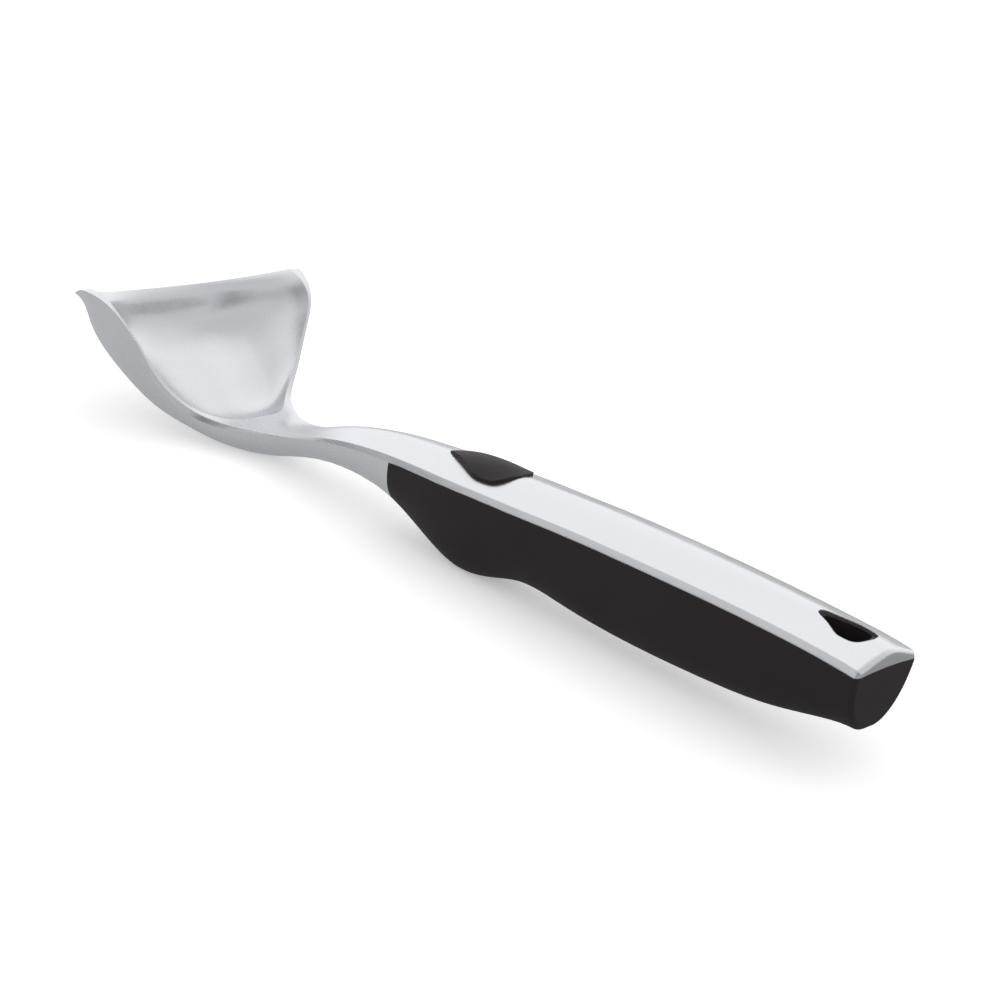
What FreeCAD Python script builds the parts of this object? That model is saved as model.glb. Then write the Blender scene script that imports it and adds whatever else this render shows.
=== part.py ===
import FreeCAD, Part
import math
import os
from collections import namedtuple

# Ice cream scoop: one polished casting with a soft moulded grip under its handle.
# Millimetres. It is drawn with X along the handle, from the head (negative) to the hanging end
# at zero, Y across it and Z up out of its top face, and set down on the table at the end.
V = FreeCAD.Vector

# Handle
handle_length = 124.8
handle_width = 21.8
handle_fall = 9.2
rim_height = 1.1
crown_height = 2.7
bevel_width = 0.7
bevel_height = 1.3
end_round = 1.2
keel_half = 2.2

# Depth of the handle below its rim: hanging end, palm swell, waist, finger hump and shoulder
end_depth = 14.7
palm_depth = 21.2
waist_depth = 18.6
hump_depth = 21.3
shoulder_depth = 12.3

# Neck
neck_length = 44.6
neck_fall = 12.8
neck_width = 14.9
neck_depth = 6.0

# Head, from its root to the point where the side rim would meet the front edge
head_reach = 28.4
head_rise = 25.8
head_width = 69.6
head_depth = 24.6
root_land = 1.8
edge_wall = 1.4
floor_wall = 2.8
front_slope = 15.0
front_radius = 40.0
corner_radius = 13.0

# Thumb pad, behind the shoulder
pad_setback = 8.4
pad_length = 20.6
pad_width = 14.0
pad_shoulder = 16.2
pad_nose = 0.06
pad_rise = 1.7
pad_edge = 0.3

# Hanging hole, ahead of the hanging end
hole_setback = 4.5
hole_length = 13.0
hole_width = 9.0
hole_shoulder = 8.4
hole_nose = 0.32
lining_wall = 0.8
lining_drop = 0.7

# Parting line between the casting and the grip: how far it lies below the bevel, and its arch
parting_drop = 0.2
parting_arch = 0.6

# A frame across the body: place of its rim, half width between the creases, forward tilt,
# depth below the rim, crown, share of the bevel, fullness of the side and of the underside, half
# width of the flat keel, lean of the side, and in the head the land of its rim and its floor
Frame = namedtuple("Frame", "x z half tilt depth crown bevel side under keel lean land floor")


def handle_frames():
    """Shares of the handle's length, fall and half width, its depth, and a share of the crown."""
    rows = [
        (0.000, 0.00, 0.91, end_depth, 0.96),
        (0.065, -0.03, 0.92, end_depth + 0.23 * (palm_depth - end_depth), 0.96),
        (0.160, -0.01, 0.925, end_depth + 0.70 * (palm_depth - end_depth), 1.00),
        (0.290, 0.06, 0.95, end_depth + 0.97 * (palm_depth - end_depth), 1.00),
        (0.450, 0.20, 0.98, palm_depth, 1.00),
        (0.600, 0.37, 0.99, waist_depth + 0.38 * (palm_depth - waist_depth), 1.00),
        (0.695, 0.51, 1.00, waist_depth, 1.00),
        (0.760, 0.60, 1.00, waist_depth + 0.73 * (hump_depth - waist_depth), 0.96),
        (0.830, 0.71, 0.98, hump_depth, 0.89),
        (0.905, 0.83, 0.93, shoulder_depth + 0.64 * (hump_depth - shoulder_depth), 0.81),
        (1.000, 1.00, 0.855, shoulder_depth, 0.78),
    ]
    frames = []
    for along, fall, wide, depth, crown in rows:
        x = -along * handle_length
        z = rim_height - fall * handle_fall
        half = wide * handle_width / 2
        lean = 0.05 - 0.03 * along
        side = 0.50 + 0.02 * along
        under = 0.50 + 0.05 * min(1, 4 * along)
        keel = keel_half * min(1, 0.2 + along)
        frames.append(Frame(x, z, half, 0, depth, crown * crown_height, 1, side, under, keel, lean, 0, 0))
    return frames


def neck_frames():
    """Shares of the neck's length, fall, half width and depth, and of the crown and bevel."""
    rows = [
        (0.33, 0.22, 1.19, 1.42, 0.70, 0.85, 0.50),
        (0.57, 0.49, 1.11, 1.12, 0.55, 0.60, 0.48),
        (0.79, 0.80, 1.00, 1.00, 0.33, 0.35, 0.48),
        (1.00, 0.99, 1.14, 1.18, 0.11, 0.60, 0.50),
    ]
    shoulder = handle_frames()[-1]
    frames = []
    for along, fall, wide, deep, crown, bevel, under in rows:
        x = shoulder.x - along * neck_length
        z = shoulder.z - fall * neck_fall
        half = wide * neck_width / 2
        depth = deep * neck_depth
        lean = 0.06 if along < 1 else 0.04
        tilt = 0 if along < 1 else 3
        frames.append(
            Frame(x, z, half, tilt, depth, crown * crown_height, bevel, 0.5, under, keel_half, lean, 0, 0)
        )
    return frames


def head_frames():
    """Shares of the head's reach, rise, half width, depth and bevel, tilt, fullness, land and floor."""
    rows = [
        (0.250, -0.025, 0.337, 0.305, 0.90, 10, 0.55, root_land, 0.310 * head_depth),
        (0.460, 0.015, 0.447, 0.335, 1.00, 24, 0.55, root_land, floor_wall),
        (0.620, 0.170, 0.594, 0.475, 0.80, 38, 0.60, 0.90 * root_land, floor_wall),
        (0.740, 0.385, 0.707, 0.665, 0.50, 46, 0.62, 0.85 * root_land, floor_wall),
        (0.840, 0.620, 0.802, 0.870, 0.25, 53, 0.63, edge_wall, edge_wall),
        (0.935, 0.840, 0.885, 0.970, 0.25, 58, 0.62, edge_wall, edge_wall),
        (1.030, 1.080, 1.010, 0.950, 0.25, 60, 0.62, edge_wall, edge_wall),
    ]
    root = neck_frames()[-1]
    frames = []
    for reach, rise, wide, deep, bevel, tilt, full, land, floor in rows:
        x = root.x - reach * head_reach
        z = root.z + rise * head_rise
        half = wide * head_width / 2
        depth = deep * head_depth
        frames.append(Frame(x, z, half, tilt, depth, 0, bevel, full, full, keel_half, 0, land, floor))
    return frames


def smooth(points):
    """A clamped cubic spline edge with these control points."""
    curve = Part.BSplineCurve()
    spans = len(points) - 3
    mults = [4] + [1] * (spans - 1) + [4]
    curve.buildFromPolesMultsKnots(points, mults, range(spans + 1), False, 3)
    return curve.toShape()


def line(start, end):
    return Part.LineSegment(start, end).toShape()


def down_from(frame):
    """The direction in a frame's own plane that leads away from its rim."""
    tilt = math.radians(frame.tilt)
    return V(-math.sin(tilt), 0, -math.cos(tilt))


def mirrored(half_outline):
    """A half outline of (across, down) points, carried on over the middle to the other side."""
    return half_outline + [(-y, d) for y, d in reversed(half_outline[:-1])]


def body_wire(frame):
    """One closed frame: the crowned top, a narrow bevel on each side, and the U below."""
    down = down_from(frame)
    rim = V(frame.x, 0, frame.z)
    drop = bevel_height * frame.bevel
    wide = frame.half + bevel_width * frame.bevel
    deep = frame.depth - drop
    top = [(1.0, 0.0), (0.60, 0.50), (0.22, 0.93), (0.0, 1.0)]
    top = mirrored([(frame.half * y, -frame.crown * k) for y, k in top])
    under = [
        (wide, 0.0),
        (wide * (1.0 - frame.lean), frame.side),
        (wide * frame.under, 1.0),
        (frame.keel, 1.0),
    ]
    under = [(-y, drop + deep * k) for y, k in under]
    under = under + [(-y, d) for y, d in reversed(under)]
    top = [rim + V(0, y, 0) + down * d for y, d in top]
    under = [rim + V(0, y, 0) + down * d for y, d in under]
    return Part.Wire([smooth(top), line(top[-1], under[0]), smooth(under), line(under[-1], top[0])])


def body_blank():
    """Handle, neck and head as one smooth solid, with the edges of the hanging end rounded."""
    frames = handle_frames() + neck_frames() + head_frames()
    last = frames[0]._replace(x=-end_round)
    caps = []
    for turn in (0, 30, 60, 90):
        inset = end_round * (1 - math.cos(math.radians(turn)))
        x = last.x + end_round * math.sin(math.radians(turn))
        z = last.z - inset
        caps.append(last._replace(x=x, z=z, half=last.half - inset, depth=last.depth - 2 * inset))
    blank = Part.makeLoft([body_wire(frame) for frame in [last] + frames[1:]], True, False)
    cap = Part.makeLoft([body_wire(frame) for frame in caps], True, False)
    return blank.fuse(cap)


def hollow():
    """The space that the ice cream fills, a wall's thickness inside the head's frames."""
    lift = 4.0
    neck_end = neck_frames()[-1]
    first = neck_end._replace(
        x=neck_end.x - 0.5 * root_land,
        z=neck_end.z - 0.1 * root_land,
        tilt=5,
        land=root_land,
        floor=neck_end.depth + 0.4 * lift,
    )
    wires = []
    for frame in [first] + head_frames():
        down = down_from(frame)
        rim = V(frame.x, 0, frame.z)
        half = frame.half + bevel_width * frame.bevel - frame.land
        span = frame.depth - frame.floor + lift
        wall = [(1.04, 0), (1.0, 0.5), (0.62, 0.98), (0, 1)]
        outline = mirrored([(half * y, span * k) for y, k in wall])
        points = [rim + V(0, y, 0) + down * (d - lift) for y, d in outline]
        wires.append(Part.Wire([smooth(points), line(points[-1], points[0])]))
    return Part.makeLoft(wires, True, False)


def above_front_edge():
    """What is cut away over the front edge: a rounded corner on the side rim, then a long arc."""
    far = 60.0
    root = neck_frames()[-1]
    low, high = head_frames()[-2:]
    rim_up = V(high.x - low.x, 0, high.z - low.z).normalize()
    corner = V(low.x, 0, low.z)
    corner = corner + rim_up * ((root.z + head_rise - corner.z) / rim_up.z)
    slope = math.radians(front_slope)
    ahead = V(-math.cos(slope), 0, -math.sin(slope))
    half_turn = ahead.getAngle(rim_up * -1) / 2
    leg = corner_radius / math.tan(half_turn)
    inward = (ahead - rim_up).normalize()
    start = corner - rim_up * leg
    middle = corner + inward * (corner_radius / math.sin(half_turn) - corner_radius)
    end = corner + ahead * leg

    def along_front(turn):
        angle = slope + math.radians(turn)
        across = math.sin(angle) - math.sin(slope)
        fall = math.cos(slope) - math.cos(angle)
        return end - V(across, 0, fall) * front_radius

    front = along_front(35)
    ahead_of_all = V(front.x - far, 0, front.z)
    above_all = V(ahead_of_all.x, 0, far)
    behind = start + V(0.6 * corner_radius, 0, -0.1 * corner_radius)
    edges = [
        Part.Arc(start, middle, end).toShape(),
        Part.Arc(end, along_front(17), front).toShape(),
        line(front, ahead_of_all),
        line(ahead_of_all, above_all),
        line(above_all, V(behind.x, 0, far)),
        line(V(behind.x, 0, far), behind),
        line(behind, start),
    ]
    face = Part.Face(Part.Wire(edges))
    face.translate(V(0, -far, 0))
    return face.extrude(V(0, 2 * far, 0))


def leaf(front, length, width, shoulder, nose, inset, low, high):
    """A leaf-shaped prism: a nose this blunt, widest at its shoulder, and a pointed tail."""
    tip = front + 1.8 * inset
    tail = front + length - 1.4 * inset
    wide = width / 2 - inset
    widest = front + shoulder
    ahead = widest - tip
    behind = tail - widest
    half = [
        (tip, 0),
        (tip, nose * wide),
        (tip + 0.42 * ahead, 0.50 * wide),
        (tip + 0.80 * ahead, 1.02 * wide),
        (widest, 1.02 * wide),
        (widest + 0.75 * behind, 1.0 * wide),
        (tail - 0.06 * behind, 0.35 * wide),
        (tail, 0),
    ]
    sides = [smooth([V(x, side * y, low) for x, y in half]) for side in (1, -1)]
    return Part.Face(Part.Wire(sides)).extrude(V(0, 0, high - low))


def arched_wire(x, half, edge, top, bottom):
    """A box section with an arched top: the heights of its edges, of its middle and of its bottom."""
    left = V(x, -half, edge)
    right = V(x, half, edge)
    low_left = V(x, -half, bottom)
    low_right = V(x, half, bottom)
    arch = Part.Arc(left, V(x, 0, top), right).toShape()
    return Part.Wire([arch, line(right, low_right), line(low_right, low_left), line(low_left, left)])


def below_parting():
    """All that lies under the parting line of the handle, from the shoulder to past its end."""
    side = handle_width
    depth = 3 * palm_depth
    frames = handle_frames()
    frames = [frames[0]._replace(x=4 * end_round)] + frames
    wires = []
    for frame in frames:
        z = frame.z - bevel_height - parting_drop
        wide = frame.half + bevel_width
        edge = z + parting_arch * (1 - (side / wide) ** 2)
        wires.append(arched_wire(frame.x, side, edge, z + parting_arch, z - depth))
    return Part.makeLoft(wires, True, False)


def pad_dome():
    """The domed top of the thumb pad, with all that lies under it, wider than the pad itself."""
    deep = 4 * crown_height
    frames = handle_frames()
    front = pad_setback - handle_length
    middle = front + pad_length / 2
    half = pad_width / 2 + 2 * pad_edge
    wires = []
    for share in (-0.6, -0.3, 0, 0.3, 0.6):
        x = middle + share * pad_length
        after = max(i for i, frame in enumerate(frames[:-1]) if frame.x >= x)
        near, far = frames[after], frames[after + 1]
        k = (x - near.x) / (far.x - near.x)
        rim, wide, crown = [near[i] + k * (far[i] - near[i]) for i in (1, 2, 5)]
        top = rim + crown + pad_edge + (pad_rise - pad_edge) * (1 - (2 * share) ** 2)
        edge = rim + crown * (1 - (half / wide) ** 2) + pad_edge
        wires.append(arched_wire(x, half, edge, top, rim - deep))
    return Part.makeLoft(wires, True, False)


def drawn_parts():
    """The casting and the grip, in the frame that they are drawn in."""
    blank = body_blank()
    body = blank.cut(hollow()).cut(above_front_edge())
    region = below_parting()
    pad_front = pad_setback - handle_length
    above = handle_width
    pad_bottom = -handle_fall - 2 * crown_height
    pad_prism = leaf(pad_front, pad_length, pad_width, pad_shoulder, pad_nose, 0, pad_bottom, above)
    hole = (-hole_setback - hole_length, hole_length, hole_width, hole_shoulder, hole_nose)
    hole_prism = leaf(*hole, 0, -end_depth / 2, above)
    bore_prism = leaf(*hole, lining_wall, -3 * palm_depth, above)

    casting = body.cut(region).cut(pad_prism).cut(hole_prism)
    pad = pad_dome().common(pad_prism)
    lowered = blank.copy()
    lowered.translate(V(0, 0, -lining_drop))
    lining = lowered.common(hole_prism)
    grip = body.common(region).fuse(pad).fuse(lining).cut(bore_prism).removeSplitter()
    return casting, grip


def lowest(points, turn):
    """The lowest height among the points once they are turned about the Y axis."""
    angle = math.radians(turn)
    return min(p.z * math.cos(angle) - p.x * math.sin(angle) for p in points)


def resting_turn(casting, grip):
    """The turn about the Y axis that brings the head and the finger hump down to one level."""
    facet = 0.05
    head_points = casting.tessellate(facet)[0]
    grip_points = grip.tessellate(facet)[0]
    low, high = -10.0, 10.0
    for _ in range(40):
        turn = (low + high) / 2
        if lowest(head_points, turn) < lowest(grip_points, turn):
            low = turn
        else:
            high = turn
    return turn


def set_down(casting, grip):
    """Both parts as they rest on a table, with the origin under the middle of their box."""
    turn = resting_turn(casting, grip)
    pair = []
    for shape in (casting, grip):
        shape = shape.copy()
        shape.rotate(V(0, 0, 0), V(0, 1, 0), turn)
        pair.append(shape)
    box = Part.makeCompound(pair).optimalBoundingBox(False, False)
    move = V(-box.Center.x, -box.Center.y, -box.ZMin)
    for shape in pair:
        shape.translate(move)
    print("resting turn", round(turn, 4), "degrees, then moved by", *[round(m, 4) for m in move])
    print("size", *[round(length, 2) for length in (box.XLength, box.YLength, box.ZLength)])
    return pair


os.makedirs("parts", exist_ok=True)
for name, shape in zip(("scoop_casting", "soft_grip"), set_down(*drawn_parts())):
    print(name, shape.isValid(), len(shape.Solids), len(shape.Faces), round(shape.Volume))
    shape.exportStep("parts/%s.step" % name)
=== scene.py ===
# %% [markdown]
# # Ice cream scoop
# A one-piece metal scoop with a wide, hollow head, a thin neck and a bar handle. A soft black moulding
# lies under the handle, comes up through the bar as a thumb pad and lines the hanging hole. The solids
# come from model.glb. This script gives them their surfaces, a table to lie on, light and a camera.

import math

import bpy
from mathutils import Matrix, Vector

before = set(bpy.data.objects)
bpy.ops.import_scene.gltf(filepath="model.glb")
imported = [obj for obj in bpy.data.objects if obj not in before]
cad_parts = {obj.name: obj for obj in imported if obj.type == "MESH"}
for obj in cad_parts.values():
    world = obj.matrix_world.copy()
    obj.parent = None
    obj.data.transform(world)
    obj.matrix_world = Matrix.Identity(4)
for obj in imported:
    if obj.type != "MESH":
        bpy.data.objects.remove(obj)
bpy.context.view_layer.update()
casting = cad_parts["scoop_casting"]
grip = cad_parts["soft_grip"]
MM = 0.001
print("nodes:", sorted(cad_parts))

# %% [markdown]
# ## Three small helpers
# Colours are picked from the photo as sRGB hex, and Blender works in linear light, so one function turns
# the one into the other. The second adds a shader node, sets it and links it in one go, so that each
# material below reads as a list of what it is made of. The third starts a material. It hands over the
# object's own coordinates, in metres, so that every pattern gets its scale from a real size.

# %% Helpers


def linear(hex_colour):
    """An sRGB hex colour, such as #E8EAEC, as linear red, green, blue and alpha."""
    parts = [int(hex_colour[i : i + 2], 16) / 255 for i in (1, 3, 5)]
    return [c / 12.92 if c <= 0.04045 else ((c + 0.055) / 1.055) ** 2.4 for c in parts] + [1.0]


def add(tree, kind, inputs=(), **settings):
    """A new node. Settings go on the node, and each input is a value or another node's output."""
    made = tree.nodes.new(kind)
    for name, value in settings.items():
        setattr(made, name, value)
    for name, value in dict(inputs).items():
        if isinstance(value, bpy.types.NodeSocket):
            tree.links.new(value, made.inputs[name])
        else:
            made.inputs[name].default_value = value
    return made


def blank_material(name):
    """A material with only its output node, and the object's own coordinates to place patterns by."""
    material = bpy.data.materials.new(name)
    material.use_nodes = True
    tree = material.node_tree
    tree.nodes.clear()
    output = add(tree, "ShaderNodeOutputMaterial")
    place = add(tree, "ShaderNodeTexCoord").outputs["Object"]
    return material, tree, output, place


print("mid grey #808080 in linear light:", round(linear("#808080")[0], 3))

# %% [markdown]
# ## The metal
# The head, neck and bar are one zinc die casting. After casting it is ground along its length, polished
# and plated with nickel and chrome, which leaves a satin shine: what it mirrors has soft edges, and a very
# faint grain runs from head to handle end. A picture of brushed metal could be wrapped round it, but the
# solid has no unwrapped skin, so the grain is noise in the object's own millimetres, stretched fifty times
# along the length. Real polishing lines are about 0.05 mm apart, which no pixel of the photo shows, so
# they are drawn at 0.3 mm. A slow cloud of slightly different roughness, about 12 mm across, is what
# handling leaves. Polishing also rounds every edge by about a third of a millimetre. The bevel node does
# that to the shading alone, so that an edge catches a thin line of light and the solid stays as it is.

# %% Plated metal
metal, tree, output, place = blank_material("satin_plated_casting")
line_gap = 0.3 * MM
line_length = 50 * line_gap
line_depth = 0.004 * MM
handled_patch = 12 * MM
worn_edge = 0.35 * MM
line_share = 0.35
stretch = Vector((1 / line_length, 1 / line_gap, 1 / line_gap))
lines = add(tree, "ShaderNodeMapping", {"Vector": place, "Scale": stretch})
grain = add(tree, "ShaderNodeTexNoise", {"Vector": lines.outputs[0], "Scale": 1.0, "Detail": 3.0})
cloud = add(tree, "ShaderNodeTexNoise", {"Vector": place, "Scale": 1 / handled_patch, "Detail": 2.0})
lined = add(tree, "ShaderNodeMath", {0: grain.outputs["Fac"], 1: line_share}, operation="MULTIPLY")
mixed = add(
    tree,
    "ShaderNodeMath",
    {0: cloud.outputs["Fac"], 1: 1 - line_share, 2: lined.outputs[0]},
    operation="MULTIPLY_ADD",
)
rough = add(
    tree,
    "ShaderNodeMapRange",
    {"Value": mixed.outputs[0], "From Min": 0.3, "From Max": 0.7, "To Min": 0.23, "To Max": 0.30},
)
edges = add(tree, "ShaderNodeBevel", {"Radius": worn_edge}, samples=4)
bump = add(
    tree,
    "ShaderNodeBump",
    {"Height": grain.outputs["Fac"], "Strength": 0.15, "Distance": line_depth, "Normal": edges.outputs[0]},
)
shader = add(
    tree,
    "ShaderNodeBsdfPrincipled",
    {
        "Base Color": linear("#E5E6EA"),
        "Metallic": 1.0,
        "Roughness": rough.outputs[0],
        "Normal": bump.outputs[0],
    },
)
tree.links.new(shader.outputs[0], output.inputs["Surface"])
casting.material_slots[0].material = metal
print("metal:", metal.name, "with lines", round(line_gap / MM, 2), "mm apart")

# %% [markdown]
# ## The soft grip
# The grip is a black thermoplastic elastomer, moulded over the bar in a tool with a fine spark-eroded
# texture, so it is matt and slightly warm in colour. The eye sees an even black that turns a little grey
# where it faces the light, as the thumb pad does. A plain black would be too flat there, so the pits of
# the texture are a shallow bump. They are about 0.1 mm wide and are drawn at 0.35 mm. Palms polish such a
# surface unevenly, which a slow cloud in the roughness stands for.

# %% Soft black moulding
soft, tree, output, place = blank_material("black_soft_moulding")
pit_size = 0.35 * MM
pit_depth = 0.02 * MM
palm_patch = 15 * MM
pits = add(tree, "ShaderNodeTexNoise", {"Vector": place, "Scale": 1 / pit_size, "Detail": 2.0})
cloud = add(tree, "ShaderNodeTexNoise", {"Vector": place, "Scale": 1 / palm_patch, "Detail": 2.0})
rough = add(
    tree,
    "ShaderNodeMapRange",
    {"Value": cloud.outputs["Fac"], "From Min": 0.3, "From Max": 0.7, "To Min": 0.52, "To Max": 0.62},
)
bump = add(tree, "ShaderNodeBump", {"Height": pits.outputs["Fac"], "Strength": 0.2, "Distance": pit_depth})
shader = add(
    tree,
    "ShaderNodeBsdfPrincipled",
    {
        "Base Color": linear("#261F21"),
        "Roughness": rough.outputs[0],
        "IOR": 1.5,
        "Specular IOR Level": 0.3,
        "Normal": bump.outputs[0],
    },
)
tree.links.new(shader.outputs[0], output.inputs["Surface"])
grip.material_slots[0].material = soft
print("grip:", soft.name, "with pits", round(pit_size / MM, 2), "mm wide")

# %% [markdown]
# ## The table and its tone
# A white paper table top in a white studio, as for a catalogue picture. A table lit until it burns out
# would burn out the scoop as well, so each kind of ray finds its own tone. The camera sees plain white
# with the scoop's shadow on it. The light that bounces up under the scoop comes from light grey paper.
# The metal mirrors a darker grey copy of the same paper, which is painted shade: it makes the outside of
# the head darker than its hollow.

# %% Table
table_side = 8
bpy.ops.mesh.primitive_plane_add(size=table_side)
table = bpy.context.object
table.name = "table_top"
paper, tree, output, place = blank_material("white_table_top")
seen = add(tree, "ShaderNodeLightPath")
paper_cloud = 40 * MM
fleck = add(tree, "ShaderNodeTexNoise", {"Vector": place, "Scale": 1 / paper_cloud, "Detail": 2.0})
paper_rough = add(tree, "ShaderNodeMapRange", {"Value": fleck.outputs["Fac"], "To Min": 0.75, "To Max": 0.9})
# Painted shade: the grey that only the metal's reflections see is darker than the paper's own tone.
lighting_grey, shaded_mirror_grey, camera_white = linear("#DADADA"), linear("#9B9B9B"), linear("#FFFFFF")
tone = add(
    tree,
    "ShaderNodeMixRGB",
    {"Fac": seen.outputs["Is Glossy Ray"], "Color1": lighting_grey, "Color2": shaded_mirror_grey},
)
tone = add(
    tree,
    "ShaderNodeMixRGB",
    {"Fac": seen.outputs["Is Camera Ray"], "Color1": tone.outputs[0], "Color2": camera_white},
)
shader = add(
    tree,
    "ShaderNodeBsdfPrincipled",
    {
        "Base Color": tone.outputs[0],
        "Roughness": paper_rough.outputs[0],
        "Specular IOR Level": 0.0,
        "Emission Color": camera_white,
    },
)
tree.links.new(shader.outputs[0], output.inputs["Surface"])
table.data.materials.append(paper)
print("table:", paper.name, table_side, "m wide")

# %% [markdown]
# ## The table's glow and its painted reflection
# The camera's white needs a little glow to stay white under soft light. The metal alone sees a further
# glow in the table, which is painted light: it falls off from the picture's left to its right, over some
# 140 mm under the scoop, so that the head's outer wall shades off along its curve. A lamp low over the
# table would do this too, but it would also draw a second shadow.

# %% Glow
camera_glow = 0.35
# Painted light: this glow is seen only in the metal's reflections, brighter on the left than the right.
left_glow, right_glow = 0.3, 0.06
left_end, right_end = -20 * MM, 120 * MM
to_the_right = Vector((0.64, 0.77, 0))
rightward = add(tree, "ShaderNodeVectorMath", {0: place, 1: to_the_right}, operation="DOT_PRODUCT")
painted_glow_falloff = add(
    tree,
    "ShaderNodeMapRange",
    {
        "Value": rightward.outputs["Value"],
        "From Min": left_end,
        "From Max": right_end,
        "To Min": left_glow,
        "To Max": right_glow,
    },
    interpolation_type="SMOOTHSTEP",
)
painted_reflection_glow = add(
    tree,
    "ShaderNodeMath",
    {0: seen.outputs["Is Glossy Ray"], 1: painted_glow_falloff.outputs["Result"]},
    operation="MULTIPLY",
)
glow = add(
    tree,
    "ShaderNodeMath",
    {0: seen.outputs["Is Camera Ray"], 1: camera_glow, 2: painted_reflection_glow.outputs[0]},
    operation="MULTIPLY_ADD",
)
tree.links.new(glow.outputs[0], shader.inputs["Emission Strength"])
print("glow in the metal falls from", left_glow, "to", right_glow)

# %% [markdown]
# ## The room's bright side
# Polished metal has hardly a colour of its own: it shows the room. A photographed room could be wrapped
# round the scoop, but a few soft steps in the world do the same with nothing to load. In a real studio
# the walls are bright where the lamps shine. Here that is the far side behind the head, and the level
# falls off towards the camera and a little overhead. So the hollow is pale at its floor, and grey under
# its front edge, which looks back at the nearer walls.

# %% Bright side
bright_side = Vector((-0.809, 0.588, 0.0))
near_level, far_level = 0.67, 1.05
overhead_share = 0.93
world = bpy.data.worlds.new("studio_room")
bpy.context.scene.world = world
world.use_nodes = True
tree = world.node_tree
tree.nodes.clear()
ray = add(tree, "ShaderNodeTexCoord").outputs["Generated"]
toward = add(tree, "ShaderNodeSeparateXYZ", {"Vector": ray})
facing = add(tree, "ShaderNodeVectorMath", {0: ray, 1: bright_side}, operation="DOT_PRODUCT")
walls = add(
    tree,
    "ShaderNodeMapRange",
    {
        "Value": facing.outputs["Value"],
        "From Min": -0.38,
        "From Max": 0.70,
        "To Min": near_level,
        "To Max": far_level,
    },
    interpolation_type="SMOOTHSTEP",
)
overhead = add(
    tree,
    "ShaderNodeMapRange",
    {
        "Value": toward.outputs["Z"],
        "From Min": 0.5,
        "From Max": 0.85,
        "To Min": 1.0,
        "To Max": overhead_share,
    },
    interpolation_type="SMOOTHSTEP",
)
lit_room = add(
    tree, "ShaderNodeMath", {0: walls.outputs["Result"], 1: overhead.outputs["Result"]}, operation="MULTIPLY"
)
print("walls from", near_level, "to", far_level)

# %% [markdown]
# ## The room's open side
# A studio is open and dark where the camera stands. Behind the camera and below about 25 degrees the room
# drops to a dark grey, which the bevels of the neck and the bar mirror: they are the grey lines beside
# the bright top. A black board is what a photographer would stand there.

# %% Open side
dark_level = 0.22
behind = add(
    tree,
    "ShaderNodeMapRange",
    {"Value": toward.outputs["Y"], "From Min": 0.2, "From Max": -0.4},
    interpolation_type="SMOOTHSTEP",
)
low = add(
    tree,
    "ShaderNodeMapRange",
    {"Value": toward.outputs["Z"], "From Min": 0.44, "From Max": 0.28},
    interpolation_type="SMOOTHSTEP",
)
open_side = add(
    tree, "ShaderNodeMath", {0: behind.outputs["Result"], 1: low.outputs["Result"]}, operation="MULTIPLY"
)
room = add(tree, "ShaderNodeMix", {"Factor": open_side.outputs[0], "A": lit_room.outputs[0], "B": dark_level})
print("open side at", dark_level)

# %% [markdown]
# ## Who sees the room
# Only what the metal mirrors needs walls. Rays that light a matt surface get one even level, so that the
# black grip looks as it would in any plain light, and the camera sees a plain white background.

# %% Rays
even_level = 0.8
seen = add(tree, "ShaderNodeLightPath")
mirror = add(
    tree,
    "ShaderNodeMath",
    {0: seen.outputs["Is Glossy Ray"], 1: seen.outputs["Is Transmission Ray"]},
    operation="MAXIMUM",
)
level = add(tree, "ShaderNodeMix", {"Factor": mirror.outputs[0], "A": even_level, "B": room.outputs[0]})
level = add(tree, "ShaderNodeMix", {"Factor": seen.outputs["Is Camera Ray"], "A": level.outputs[0], "B": 1.0})
sky = add(tree, "ShaderNodeBackground", {"Color": linear("#FFFFFF"), "Strength": level.outputs[0]})
add(tree, "ShaderNodeOutputWorld", {"Surface": sky.outputs[0]})
print("world:", world.name)

# %% [markdown]
# ## The lamp
# The room gives most of the light. One broad soft box hangs high over the far side. It is weak, so that
# the metal doesn't burn out, and broad, so that the shadow on the table has no edge. A small lamp would
# draw a hard white spot in the hollow of the head, and the photo has none.

# %% Lamp
box_side, box_distance, radiance = 1.7, 2.2, 0.10
azimuth, elevation = math.radians(-50), math.radians(72)
level_part = math.cos(elevation)
to_box = Vector((math.sin(azimuth) * level_part, math.cos(azimuth) * level_part, math.sin(elevation)))
light = bpy.data.lights.new("high_soft_box", "AREA")
light.size = box_side
light.energy = radiance * math.pi * box_side**2
soft_box = bpy.data.objects.new("high_soft_box", light)
soft_box.location = box_distance * to_box
soft_box.rotation_euler = to_box.to_track_quat("Z", "Y").to_euler()
bpy.context.collection.objects.link(soft_box)
print("lamp:", light.name, round(light.energy, 2), "W")

# %% [markdown]
# ## Camera
# The photo was taken from beyond the hanging end and to one side, about 21 degrees above the table, with
# a long lens and a slight roll. The values come from laying the model's outline over the photo's, and a
# long lens keeps the head and the handle end nearly at one scale, as they are there.

# %% Camera
lens = bpy.data.cameras.new("long_lens")
lens.sensor_width = 36
lens.lens = 81.39
lens.clip_end = 50
camera = bpy.data.objects.new("photo_camera", lens)
camera.location = (0.29319, -0.35835, 0.19186)
looking = Vector((-0.58026, 0.73222, -0.35658))
roll = math.radians(11.71)
camera.rotation_euler = looking.to_track_quat("-Z", "Y").to_euler()
camera.rotation_euler.rotate_axis("Z", roll)
bpy.context.collection.objects.link(camera)
bpy.context.scene.camera = camera
bpy.context.scene.view_settings.view_transform = "Standard"
print("camera:", camera.name, "with a", lens.lens, "mm lens")
